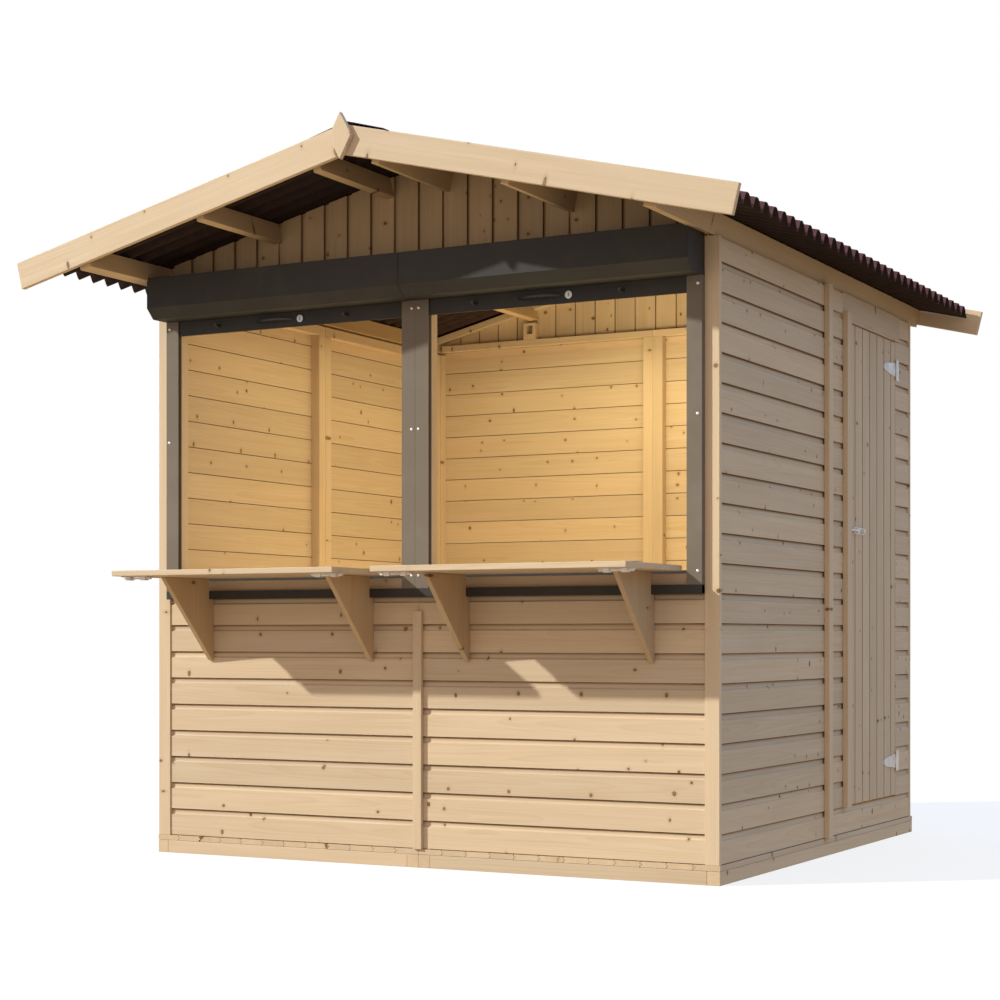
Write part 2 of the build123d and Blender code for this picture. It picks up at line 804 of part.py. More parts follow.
nodes = {
    "floor_rails": floor_rails(-1) + floor_rails(1),
    "floor_boards": floor_deck(-1) + floor_deck(1),
    "front_wall": front_lower_wall(-1) + front_lower_wall(1),
    "rear_wall": rear_wall(-1) + rear_wall(1),
    "left_wall": [side_wall(-1, board, middle - SEAT / 2, floor_top),
                  side_wall(-1, middle + SEAT / 2, rear_face, floor_top)],
    "right_wall_front": [side_wall(1, board, middle - SEAT / 2, floor_top)],
    "right_wall_rear": [side_wall(1, middle + SEAT / 2, door_front, door_sill + SEAT),
                        side_wall(1, door_rear, rear_face, door_sill + SEAT),
                        side_wall(1, middle + SEAT / 2, rear_face, floor_top, door_sill)],
    "door_header": [side_wall(1, door_front + SEAT, door_rear - SEAT, door_top)],
    "corner_trims": corner_trims(0, board) + corner_trims(rear_face, trim_back),
    "joint_trims": joint_trims(),
    "door_batten": door_batten(),
    "left_wall_frame": left_wall_frame(),
    "right_wall_frame": right_wall_frame(),
    "front_wall_frame": front_wall_frame(),
    "rear_wall_frame": rear_wall_frame(),
    "hatch_frame": hatch_posts() + sill_battens() + front_header(),
    "hatch_sill": hatch_sill(),
    "front_gable": gable_skin(0, board),
    "rear_gable": gable_skin(rear_inner, rear_face),
    "gable_frames": front_gable_frame() + rear_gable_frame(),
    "eave_purlins": eave_purlins(),
    "middle_purlins": purlin_pair(mid_purlin_at),
    "ridge_purlins": purlin_pair(ridge_purlin_at),
    "roof_sheet_left": roof_sheet(-1),
    "roof_sheet_right": roof_sheet(1),
    "ridge_cap": ridge_cap(),
    "front_barge_boards": barge_board(-1, *barge_front) + barge_board(1, *barge_front),
    "rear_barge_boards": barge_board(-1, *barge_rear) + barge_board(1, *barge_rear),
    "finials": finial(barge_front[0] - barge_thickness, barge_front[0])
               + finial(barge_rear[1], barge_rear[1] + barge_thickness),
    "shutter_guides": shutter_guides(-1) + shutter_guides(1),
    "shutter_boxes": shutter_case(-1) + shutter_case(1),
    "shutter_end_caps": shutter_caps(),
    "shutter_bars": shutter_bar(-1) + shutter_bar(1),
    "shutter_pulls": shutter_handles() + shutter_stops(),
    "shutter_locks": shutter_locks(),
    "counter_left": counter(-1),
    "counter_right": counter(1),
    "counter_ironwork_left": counter_hinge_leaves(-1) + slide_bolts(-1),
    "counter_ironwork_right": counter_hinge_leaves(1) + slide_bolts(1),
    "counter_hinge_plates": counter_hinge_plates(),
    "counter_brackets": counter_brackets(-1) + counter_brackets(1),
    "door_leaf": door_leaf(),
    "door_ledges": door_ledges(),
    "door_hinge_straps": hinge_straps(),
    "door_hinge_plates": hinge_plates(),
    "door_latch": door_latch(),
}

# The part's origin is on the ground under the middle of the whole outline.
reach_front = barge_front[0] - barge_thickness
reach_rear = barge_rear[1] + barge_thickness
to_origin = Pos(0, -(reach_front + reach_rear) / 2, 0)

os.makedirs("parts", exist_ok=True)
for name, solids in nodes.items():
    placed = [to_origin * solid for solid in solids]
    export_step(placed[0] if len(placed) == 1 else Compound(placed), f"parts/{name}.step")
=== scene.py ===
from math import ceil, cos, pi, radians, sin
from random import Random

import bmesh
import bpy
from mathutils import Matrix, Vector


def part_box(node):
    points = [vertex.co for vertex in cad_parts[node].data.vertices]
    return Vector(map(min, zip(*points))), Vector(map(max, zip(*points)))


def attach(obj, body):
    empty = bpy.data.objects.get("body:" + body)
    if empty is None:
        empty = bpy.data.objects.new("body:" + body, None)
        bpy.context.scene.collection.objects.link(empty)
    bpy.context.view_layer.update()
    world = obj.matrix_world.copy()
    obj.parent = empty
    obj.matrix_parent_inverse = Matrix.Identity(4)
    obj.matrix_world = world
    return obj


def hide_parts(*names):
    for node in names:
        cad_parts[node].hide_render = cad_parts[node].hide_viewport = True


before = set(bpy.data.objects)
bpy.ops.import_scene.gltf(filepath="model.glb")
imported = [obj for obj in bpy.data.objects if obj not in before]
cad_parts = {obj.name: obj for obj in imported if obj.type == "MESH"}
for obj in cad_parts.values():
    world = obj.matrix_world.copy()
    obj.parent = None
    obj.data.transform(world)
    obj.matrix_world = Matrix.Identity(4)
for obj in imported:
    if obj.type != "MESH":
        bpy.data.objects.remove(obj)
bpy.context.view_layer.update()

chance = Random(7)

# Sizes of the timber and of the sheets, in metres
COVER = 0.096                  # height of wall that one board covers
BOARD = 0.020                  # thickness of a wall board
SLOT = 0.002                   # open joint under the face of a board
SLOT_DEPTH = 0.0105
COVE_HEIGHT = 0.020            # hollow along the upper edge of a board
COVE_DEPTH = 0.0075
COVE_TURN = 0.008              # height over which the hollow curves back from the face
JOINT_SHADE = 0.007            # height of the strip of painted shade at the top of a joint
INNER_JOINT = 0.003            # open joint on the inside of the wall
INNER_JOINT_DEPTH = 0.006
GABLE_INNER_JOINT = 0.0055     # the gables' boards have dried wider apart
DOOR_COVER = 0.0885            # width of door that one board covers
SLOPE = 0.243                  # fall of the roof for each metre across
WAVE = 0.080                   # from crest to crest
WAVE_RISE = 0.040
WAVE_FULLNESS = 0.7            # crests broader than the valleys
WAVE_FLATNESS = 0.7            # of crests and valleys
SHEET = 0.0036                 # thickness of the corrugated sheets
SHEET_DROP = 0.004             # crests under the highest point of the sheet's solid
REAR_WALL_RISE = 0.014         # rear boards over the tops of the side walls
STRIP_SINK = 0.005             # front joint strip behind the face of its solid
PANEL_ROOM = 0.0005            # half of the joint between two panels
BOARD_ROOM = 0.0003            # between boards that stand on each other
ARRIS = 0.0008                 # small bevel along the corner of a plain board
PLANED_EDGE = 0.0015           # rounding of the corners of timber
WIDE_EDGE = 0.002
METAL_EDGE = 0.0006
PAST = 0.1                     # how far a cutter reaches beyond what it cuts
HEADER_FRONT_LAP = 0.050       # board over the door beyond the opening, towards the front
HEADER_REAR_LAP = 0.052        # and towards the rear

# How boards lie in the trunk: how far off the pith is, and how much the grain leans
WALL_BOARD_PITH = (0.055, 0.095)
WALL_BOARD_PITH_ASIDE = 0.04
BEAM_PITH = (0.075, 0.125)
GRAIN_LEAN = 0.012

# Places of the screws
GUIDE_SCREW_HEIGHTS = (1.915, 1.500, 1.000)
GUIDE_EDGE_TO_SCREW = 0.014
MIDDLE_TO_SCREW = 0.0135
HINGE_HEIGHTS = (0.300, 1.850)
STRAP_LENGTH = 0.148
STRAP_SCREWS = ((0.028, 0.011), (0.028, -0.011), (0.075, 0.0), (0.115, 0.0))
PLATE_EDGE_TO_SCREW = 0.014
PLATE_SCREWS = (-0.028, 0.0, 0.028)


# ---- finishes --------------------------------------------------------------------------------
class Wire:
    """An output of a node. Arithmetic on it adds Math or Vector Math nodes."""

    def __init__(self, tree, socket=None):
        self.tree = tree
        self.socket = socket

    def node(self, kind, settings, sockets, output=0):
        """Adds a node: first its settings, then its sockets' values or links."""
        made = self.tree.nodes.new("ShaderNode" + kind)
        for name, value in settings.items():
            if name == "stops":
                ramp = made.color_ramp.elements
                while len(ramp) < len(value):
                    ramp.new(1.0)
                for stop, (place, colour) in zip(ramp, value):
                    stop.position = place
                    stop.color = colour if len(colour) == 4 else (*colour, 1.0)
            else:
                setattr(made, name, value)
        for name, value in sockets.items():
            target = made.inputs[name]
            if isinstance(value, Wire):
                self.tree.links.new(value.socket, target)
            elif target.type == "RGBA":
                target.default_value = (*value[:3], 1.0)
            elif target.type == "VECTOR" and not isinstance(value, (tuple, Vector)):
                target.default_value = (value, value, value)
            else:
                target.default_value = value
        return Wire(self.tree, made.outputs[output])

    def other(self, output):
        """Another output of the node that this one comes from."""
        return Wire(self.tree, self.socket.node.outputs[output])

    def maths(self, operation, *values, output=0, first=None):
        """Adds a Math node, or a Vector Math node where one of the terms is a vector."""
        terms = [self if first is None else first, *values]
        vectors = any(isinstance(term, tuple) or (isinstance(term, Wire)
                                                  and term.socket.type != "VALUE")
                      for term in terms)
        kind = "VectorMath" if vectors else "Math"
        return self.node(kind, {"operation": operation}, dict(enumerate(terms)), output)

    def __add__(self, other):
        return self.maths("ADD", other)

    def __radd__(self, other):
        return self.maths("ADD", self, first=other)

    def __sub__(self, other):
        return self.maths("SUBTRACT", other)

    def __mul__(self, other):
        return self.maths("MULTIPLY", other)

    def __truediv__(self, other):
        return self.maths("DIVIDE", other)

    def __pow__(self, other):
        return self.maths("POWER", other)

    def between(self, low, high):
        """0 below low and 1 above high, smooth in between. Also falls where low is above high."""
        return self.node("MapRange", {"interpolation_type": "SMOOTHSTEP"},
                         {"Value": self, "From Min": low, "From Max": high, "To Min": 0.0,
                          "To Max": 1.0}, "Result")

    def mix(self, first, second):
        """The first colour where this is 0 and the second where it is 1."""
        return self.node("Mix", {"data_type": "RGBA", "clamp_factor": True},
                         {0: self, 6: first, 7: second}, 2)

    def times(self, tint):
        """A colour multiplied by another one."""
        return self.node("Mix", {"data_type": "RGBA", "blend_type": "MULTIPLY"},
                         {0: 1.0, 6: self, 7: tint}, 2)

    def noise(self, scale, detail=2.0, roughness=0.5):
        """Noise read at this place."""
        return self.node("TexNoise", {}, {"Vector": self, "Scale": scale, "Detail": detail,
                                          "Roughness": roughness}, "Fac")


def start_finish(name):
    """A new material, its shader, a bare wire and the place on the object."""
    material = bpy.data.materials.new(name)
    material.use_nodes = True
    tree = material.node_tree
    shader = tree.nodes["Principled BSDF"]
    wire = Wire(tree)
    place = wire.node("TexCoord", {}, {}, "Object")
    return material, shader, wire, place


def feed(wire, shader, colour, roughness, height=None, distance=0.001, strength=1.0):
    """Links what varies to the shader, with the relief through a Bump node."""
    wire.tree.links.new(colour.socket, shader.inputs["Base Color"])
    wire.tree.links.new(roughness.socket, shader.inputs["Roughness"])
    if height is not None:
        bump = wire.node("Bump", {}, {"Height": height, "Distance": distance,
                                      "Strength": strength}, "Normal")
        wire.tree.links.new(bump.socket, shader.inputs["Normal"])


def timber_finish(name, pale, dark):
    """Planed spruce. Growth rings are cylinders round each board's own pith, so faces show
    straight or arched lines and ends show arcs. Knots are branches that grow out of the pith."""
    material, shader, wire, place = start_finish(name)
    grain = wire.node("Attribute", {"attribute_name": "grain"}, {}, "Vector")
    core = wire.node("Attribute", {"attribute_name": "core"}, {}, "Vector")
    seed = wire.node("Attribute", {"attribute_name": "seed"}, {}, "Fac")
    soil = wire.node("Attribute", {"attribute_name": "soil"}, {}, "Fac")
    facing = wire.node("TexCoord", {}, {}, "Normal")

    from_core = place - core
    along = from_core.maths("DOT_PRODUCT", grain, output="Value")
    across = from_core - grain * along
    own_place = place + seed * 13.7

    # Place on the trunk: how far along it, and the angle round the pith
    aside = grain.maths("CROSS_PRODUCT", (0.31, 0.52, 0.79)).maths("NORMALIZE")
    upwards = grain.maths("CROSS_PRODUCT", aside)
    angle = across.maths("DOT_PRODUCT", aside, output="Value").maths(
        "ARCTAN2", across.maths("DOT_PRODUCT", upwards, output="Value"))
    trunk = wire.node("CombineXYZ", {}, {"X": along * 16.7 + seed * 53.0, "Y": angle * 1.35})
    branch = wire.node("TexVoronoi", {"voronoi_dimensions": "2D"},
                       {"Vector": trunk, "Scale": 1.0, "Randomness": 1.0}, "Distance")
    traits = wire.node("SeparateColor", {}, {"Color": branch.other("Color")}, "Red")
    size, ripeness = traits.other("Green"), traits.other("Blue")
    grown = traits.between(0.865, 0.870)
    radius = 0.030 + size ** 1.6 * 0.075
    reach = branch + (own_place.noise(150.0, 2.0) - 0.5) * 0.045
    knot = (reach - radius).between(0.010, -0.010) * grown
    rim = (reach - radius).maths("ABSOLUTE").between(0.026, 0.004) * grown
    halo = (reach / (radius + 0.20)).between(1.0, 0.25) * grown

    # Growth rings, pushed aside by the knots and by slow waves along the board
    drift = wire.node("TexNoise", {}, {"Vector": own_place - grain * (along * 0.86), "Scale": 9.0,
                                       "Detail": 2.0}, "Color") - (0.5, 0.5, 0.5)
    ring_reach = (across + drift * 0.016).maths("LENGTH", output="Value") + halo * 0.008
    ring_place = ring_reach / 0.0040 + (ring_reach * 71.0).maths("SINE") * 0.8
    ring = ring_place.maths("FRACT")
    late = ring ** 2.5 * ring.between(1.0, 0.93)

    # Fibres: noise drawn out along the grain, from fine to broad
    fibres = (own_place * 240.0 - grain * (along * 235.0)).noise(1.0, 3.0, 0.6)
    streaks = (own_place * 85.0 - grain * (along * 83.4)).noise(1.0, 2.0, 0.6)
    bands = (own_place * 26.0 - grain * (along * 24.4)).noise(1.0, 3.0, 0.55)
    cloud = own_place.noise(3.0, 2.0)

    shade = (late * 0.24 + (fibres - 0.5) * 0.30 + (streaks - 0.5) * 0.50 + (bands - 0.5) * 0.55
             + halo * 0.34 + 0.30)
    colour = shade.maths("MINIMUM", 1.0).maths("MAXIMUM", 0.0).mix(pale, dark)
    colour = colour.times(seed.mix((0.93, 0.925, 0.92), (1.06, 1.04, 1.01)))
    colour = colour.times(cloud.mix((0.95, 0.94, 0.92), (1.04, 1.04, 1.04)))
    colour = (knot * 0.90).mix(colour, ripeness.mix((0.130, 0.060, 0.026), (0.27, 0.145, 0.070)))
    colour = (rim * 0.70).mix(colour, (0.055, 0.026, 0.012))
    end = facing.maths("DOT_PRODUCT", grain, output="Value").maths("ABSOLUTE").between(0.75, 0.9)
    colour = colour.times(end.mix((1.0, 1.0, 1.0), (0.98, 0.96, 0.93)))
    # Painted shade: the joints' recesses, where shade falls, are darkened to brown
    colour = (soil * 0.85).mix(colour, (0.200, 0.110, 0.050))
    roughness = 0.60 + (fibres - 0.5) * 0.18 - knot * 0.12 + end * 0.15
    height = fibres * 0.5 + late * 0.35 + streaks * 0.3 + knot * 0.8
    feed(wire, shader, colour, roughness, height, 0.0005, 0.55)
    shader.inputs["Specular IOR Level"].default_value = 0.32
    return material


def powder_coat_finish(name, colour, dusty, rough=0.56, sheen=0.18):
    """Powder coat: a fine orange-peel relief, a little dust and a few pale rubs."""
    material, shader, wire, place = start_finish(name)
    peel = place.noise(900.0, 2.0)
    dust = place.noise(5.0, 4.0, 0.62).between(0.42, 0.75)
    rubs = (place * (1.0, 1.0, 9.0)).noise(38.0, 3.0, 0.7).between(0.70, 0.80)
    tone = (dust * 0.45 + rubs * 0.35).mix(colour, dusty)
    feed(wire, shader, tone, rough + dust * 0.14 + (peel - 0.5) * 0.10, peel, 0.0002, 0.5)
    shader.inputs["Specular IOR Level"].default_value = sheen
    return material


def bare_metal_finish(name, colour, dull, spangle=0.0, rough=0.34):
    """Bare metal: brushed where it has no spangle, else zinc with crystals of unequal shade."""
    material, shader, wire, place = start_finish(name)
    brushed = (place * (1.0, 1.0, 8.0)).noise(420.0, 2.0)
    stains = place.noise(24.0, 3.0, 0.6)
    tone = stains.between(0.35, 0.75).mix(colour, dull)
    roughness = rough + (brushed - 0.5) * 0.12 + stains * 0.10
    height = brushed
    if spangle:
        cells = wire.node("TexVoronoi", {}, {"Vector": place, "Scale": 1.0 / spangle}, "Color")
        shade = wire.node("SeparateColor", {}, {"Color": cells}, "Red")
        tone = (shade * 0.45).mix(tone, dull)
        roughness = roughness + shade * 0.16
        height = brushed * 0.4 + shade * 0.3
    feed(wire, shader, tone, roughness, height, 0.0002, 0.35)
    shader.inputs["Metallic"].default_value = 1.0
    return material


def bitumen_finish(name, top, top_worn, under, under_worn):
    """Corrugated bitumen sheet: a pressed fibre face, mottled and dull, red above and nearly
    black below."""
    material, shader, wire, place = start_finish(name)
    fibre = place.noise(260.0, 4.0, 0.65)
    mottle = place.noise(17.0, 4.0, 0.6)
    specks = wire.node("TexVoronoi", {}, {"Vector": place, "Scale": 420.0}, "Distance")
    facing = wire.node("TexCoord", {}, {}, "Normal")
    upwards = facing.maths("DOT_PRODUCT", (0.0, 0.0, 1.0), output="Value").between(-0.05, 0.15)
    patch = mottle.between(0.3, 0.75)
    tone = upwards.mix(patch.mix(under, under_worn), patch.mix(top, top_worn))
    tone = (specks.between(0.22, 0.1) * 0.35).mix(tone, top_worn)
    feed(wire, shader, tone, 0.78 + (fibre - 0.5) * 0.25, fibre + mottle * 0.5, 0.0006, 0.6)
    shader.inputs["Specular IOR Level"].default_value = 0.30
    return material


spruce = timber_finish("planed_spruce", (0.660, 0.525, 0.385), (0.500, 0.345, 0.205))
# A darker, more orange copy of the spruce for timber that lies in shade under the roof and the
# counters: painted shade
spruce_painted_shade = timber_finish("spruce_painted_shade", (0.595, 0.440, 0.275),
                                 (0.450, 0.290, 0.155))
anthracite = powder_coat_finish("anthracite_powder_coat", (0.045, 0.042, 0.040),
                                (0.078, 0.071, 0.063))
black_moulding = powder_coat_finish("black_moulding", (0.020, 0.019, 0.018),
                                    (0.040, 0.038, 0.036), rough=0.26, sheen=0.6)
warm_grey = powder_coat_finish("warm_grey_powder_coat", (0.177, 0.141, 0.110),
                               (0.235, 0.200, 0.165))
satin_aluminium = bare_metal_finish("satin_aluminium", (0.80, 0.80, 0.81), (0.62, 0.62, 0.63))
zinc = bare_metal_finish("zinc_plated_steel", (0.95, 0.90, 0.86), (0.74, 0.70, 0.66),
                         spangle=0.006, rough=0.40)
bitumen = bitumen_finish("bitumen_sheet", (0.085, 0.019, 0.025), (0.120, 0.052, 0.058),
                         (0.022, 0.0095, 0.0070), (0.036, 0.017, 0.013))


# ---- making pieces ---------------------------------------------------------------------------
def grain_layers(shape):
    """The layers of a board's grain direction, its pith and its own number."""
    vectors, numbers = shape.verts.layers.float_vector, shape.verts.layers.float
    return vectors["grain"], vectors["core"], numbers["seed"]


def new_body():
    """An empty bmesh with the layers that tell a board's grain, its pith, its own number and
    how much painted shade its corners get in the joints."""
    shape = bmesh.new()
    shape.verts.layers.float_vector.new("grain")
    shape.verts.layers.float_vector.new("core")
    shape.verts.layers.float.new("seed")
    shape.verts.layers.float.new("soil")
    return shape


def tell_grain(shape, verts, direction, pith=None):
    """Gives one board its grain direction, slightly off its length, and a pith beside it."""
    grain, core, seed = grain_layers(shape)
    direction = direction.normalized()
    centre = sum((v.co for v in verts), Vector()) / len(verts)
    aside = direction.orthogonal().normalized()
    aside.rotate(Matrix.Rotation(chance.uniform(0, 2 * pi), 3, direction))
    beside = centre + (aside * chance.uniform(*BEAM_PITH) if pith is None else pith)
    tilted = (direction + aside.cross(direction) * chance.uniform(-GRAIN_LEAN, GRAIN_LEAN)
              + aside * chance.uniform(-GRAIN_LEAN, GRAIN_LEAN)).normalized()
    number = chance.random()
    for v in verts:
        v[grain], v[core], v[seed] = tilted, beside, number


def islands(shape):
    """The separate solids of a mesh, each as a list of vertices, in the same order each run."""
    seen = set()
    found = []
    for first in shape.verts:
        if first in seen:
            continue
        seen.add(first)
        group, reached = [], [first]
        while reached:
            v = reached.pop()
            group.append(v)
            for e in v.link_edges:
                other = e.other_vert(v)
                if other not in seen:
                    seen.add(other)
                    reached.append(other)
        found.append(group)
    return sorted(found, key=lambda group: tuple(
        round(c, 3) for c in sum((v.co for v in group), Vector()) / len(group)))


def finish_piece(name, shape, material, body, stands_for=(), smooth=0):
    """Turns a bmesh into an object with its finish, and fixes it to a body. Faces stay flat, or
    are shaded smoothly where they meet at less than an angle."""
    mesh = bpy.data.meshes.new(name)
    shape.to_mesh(mesh)
    shape.free()
    mesh.materials.append(material)
    if smooth:
        mesh.shade_smooth()
        mesh.set_sharp_from_angle(angle=radians(smooth))
    piece = bpy.data.objects.new(name, mesh)
    bpy.context.scene.collection.objects.link(piece)
    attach(piece, body)
    if stands_for:
        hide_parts(*stands_for)
    return piece


def soften(shape, offset):
    """Rounds the edges whose faces meet at more than 30 degrees."""
    edges = [e for e in shape.edges if len(e.link_faces) == 2
             and e.calc_face_angle(0.0) > radians(30)]
    bmesh.ops.bevel(shape, geom=edges, offset=offset, offset_type="OFFSET", segments=2,
                    profile=0.5, affect="EDGES", clamp_overlap=True, material=-1)


def copied(shape, node):
    """Adds a merged copy of a CAD node to a bmesh."""
    shape.from_mesh(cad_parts[node].data)
    bmesh.ops.remove_doubles(shape, verts=shape.verts, dist=0.00001)
    bmesh.ops.dissolve_limit(shape, angle_limit=radians(0.5), verts=shape.verts,
                             edges=shape.edges)


def dressed(node, material=spruce, body="hut", edge=PLANED_EDGE, grain=None):
    """A CAD node's own shape with softened edges and a grain for each of its solids."""
    shape = new_body()
    copied(shape, node)
    for group in islands(shape):
        if grain is None:
            inside = [e for v in group for e in v.link_edges]
            longest = max(inside, key=lambda e: e.calc_length())
            direction = longest.verts[1].co - longest.verts[0].co
        else:
            direction = Vector(grain)
        tell_grain(shape, group, direction)
    soften(shape, edge)
    return finish_piece("dressed_" + node, shape, material, body, (node,))


def add_prism(shape, outline, length, place):
    """Draws an outline of (depth, height) points out along a board's length, then sets it in
    place. The outline's depth runs from the outer face inwards."""
    soil = shape.verts.layers.float["soil"]
    corners = []
    # An outline point's third number is painted shade for the joints; without it the corner gets
    # none
    for depth, height, *rest in outline:
        corners.append(shape.verts.new((0.0, depth, height)))
        corners[-1][soil] = rest[0] if rest else 0.0
    face = shape.faces.new(corners)
    drawn = bmesh.ops.extrude_face_region(shape, geom=[face])
    far = [g for g in drawn["geom"] if isinstance(g, bmesh.types.BMVert)]
    bmesh.ops.translate(shape, verts=far, vec=(length, 0.0, 0.0))
    verts = corners + far
    bmesh.ops.transform(shape, matrix=place, verts=verts)
    bmesh.ops.recalc_face_normals(shape, faces=list({f for v in verts for f in v.link_faces}))
    direction = place.to_3x3() @ Vector((1, 0, 0))
    inwards = place.to_3x3() @ Vector((0, 1, 0))
    upwards = place.to_3x3() @ Vector((0, 0, 1))
    pith = (inwards * chance.choice((-1, 1)) * chance.uniform(*WALL_BOARD_PITH)
            + upwards * chance.uniform(-WALL_BOARD_PITH_ASIDE, WALL_BOARD_PITH_ASIDE))
    tell_grain(shape, verts, direction, pith)


def board_outline(cover=COVER, slot=SLOT, cove_height=COVE_HEIGHT, cove_depth=COVE_DEPTH,
                  turn_height=COVE_TURN, inner_joint=INNER_JOINT):
    """Section of a wall board: a raised lower edge, the face, a hollow along its upper edge, and
    the tongue that the next board stands on. A third number says how much painted shade a corner
    gets."""
    face_top = cover - cove_height
    edge = slot * 0.4
    # Third numbers are painted shade: dark in the slot under the board, at the top of the hollow
    # and in the inner joint
    outline = [(edge, slot, 0.7), (0.0, slot + edge, 0.0)]
    for step in range(6):
        turn = step / 5 * pi / 2
        outline.append((cove_depth * sin(turn), face_top + turn_height * (1 - cos(turn)), 0.0))
    inner = BOARD - INNER_JOINT_DEPTH
    shade_start = max(cover - JOINT_SHADE, face_top + turn_height + 0.0002)
    return outline + [(cove_depth, shade_start, 0.1), (cove_depth, cover - BOARD_ROOM, 1.0),
                      (inner, cover - BOARD_ROOM, 1.0), (inner, cover - inner_joint, 1.0),
                      (BOARD, cover - inner_joint, 0.0), (BOARD, 0.0, 0.0),
                      (SLOT_DEPTH, 0.0, 1.0), (SLOT_DEPTH, slot, 1.0)]


def cut_away(shape, point, normal):
    """Cuts off what lies beyond a plane and closes the cut."""
    bmesh.ops.bisect_plane(shape, geom=[*shape.verts, *shape.edges, *shape.faces],
                           plane_co=point, plane_no=normal, clear_outer=True)
    bmesh.ops.holes_fill(shape, edges=[e for e in shape.edges if e.is_boundary], sides=0)
    bmesh.ops.recalc_face_normals(shape, faces=shape.faces)


TURNS = {"front": 0.0, "right": pi / 2, "rear": pi, "left": -pi / 2}


def wall_panel(shape, facing, start, end, face, low, high):
    """Boards laid on each other from low to high. Start and end lie along the wall as seen
    from outside, and face is the plane of the outer faces."""
    turn = Matrix.Rotation(TURNS[facing], 4, "Z")
    if facing in ("front", "rear"):
        origin = Vector((start, face, 0.0))
    else:
        origin = Vector((face, start, 0.0))
    length = abs(end - start)
    count = ceil((high - low) / COVER - 0.001)
    fresh = new_body()
    for n in range(count):
        place = Matrix.Translation(origin + Vector((0, 0, low + n * COVER))) @ turn
        add_prism(fresh, board_outline(), length, place)
    cut_away(fresh, (0, 0, high), (0, 0, 1))
    merge_into(shape, fresh)


def merge_into(shape, fresh):
    """Moves a finished bmesh's solids into another."""
    carrier = bpy.data.meshes.new("carrier")
    fresh.to_mesh(carrier)
    fresh.free()
    shape.from_mesh(carrier)
    bpy.data.meshes.remove(carrier)


def add_box(shape, low, high):
    """A block between two opposite corners."""
    low, high = Vector(low), Vector(high)
    bmesh.ops.create_cube(shape, size=1.0, matrix=Matrix.Translation((low + high) / 2)
                          @ Matrix.Diagonal((*(high - low), 1.0)))


def carved(piece, nodes=(), box=None):
    """Takes the room of CAD nodes, or of a box, out of a piece's mesh."""
    cutter_shape = bmesh.new()
    for node in nodes:
        copied(cutter_shape, node)
    if box:
        add_box(cutter_shape, *box)
    cutter_mesh = bpy.data.meshes.new("cutter")
    cutter_shape.to_mesh(cutter_mesh)
    cutter_shape.free()
    cutter = bpy.data.objects.new("cutter", cutter_mesh)
    bpy.context.scene.collection.objects.link(cutter)
    step = piece.modifiers.new("notches", "BOOLEAN")
    step.operation = "DIFFERENCE"
    step.solver = "EXACT"
    step.object = cutter
    view = bpy.context.evaluated_depsgraph_get()
    result = bpy.data.meshes.new_from_object(piece.evaluated_get(view))
    piece.modifiers.remove(step)
    bpy.data.objects.remove(cutter)
    bpy.data.meshes.remove(cutter_mesh)
    settle_grain(result)
    result.name = piece.name
    piece.data = result


def settle_grain(mesh):
    """Gives the corners that a cut made the grain of the board they are on."""
    shape = bmesh.new()
    shape.from_mesh(mesh)
    grain, core, seed = grain_layers(shape)
    for group in islands(shape):
        known = max(group, key=lambda v: v[grain].length)
        for v in group:
            v[grain], v[core], v[seed] = known[grain], known[core], known[seed]
    shape.to_mesh(mesh)
    shape.free()


# ---- walls -----------------------------------------------------------------------------------
def front_boards():
    """The low wall under the hatches, in two panels."""
    low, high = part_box("front_wall")
    shape = new_body()
    for start, end in ((low.x, -PANEL_ROOM), (PANEL_ROOM, high.x)):
        wall_panel(shape, "front", start, end, low.y, low.z, high.z)
    finish_piece("front_wall_boards", shape, spruce, "hut", ("front_wall",))


def rear_boards():
    """Two panels, standing over the side walls and notched round the eave purlins."""
    low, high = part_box("rear_wall")
    shape = new_body()
    for start, end in ((high.x, PANEL_ROOM), (-PANEL_ROOM, low.x)):
        wall_panel(shape, "rear", start, end, high.y, low.z, high.z + REAR_WALL_RISE)
    carved(finish_piece("rear_wall_boards", shape, spruce, "hut", ("rear_wall",)),
           ("eave_purlins",))


def left_boards():
    """Two panels of full boards."""
    low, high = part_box("left_wall")
    middle = (low.y + high.y) / 2
    shape = new_body()
    for start, end in ((high.y, middle + PANEL_ROOM), (middle - PANEL_ROOM, low.y)):
        wall_panel(shape, "left", start, end, low.x, low.z, high.z)
    finish_piece("left_wall_boards", shape, spruce, "hut", ("left_wall",))


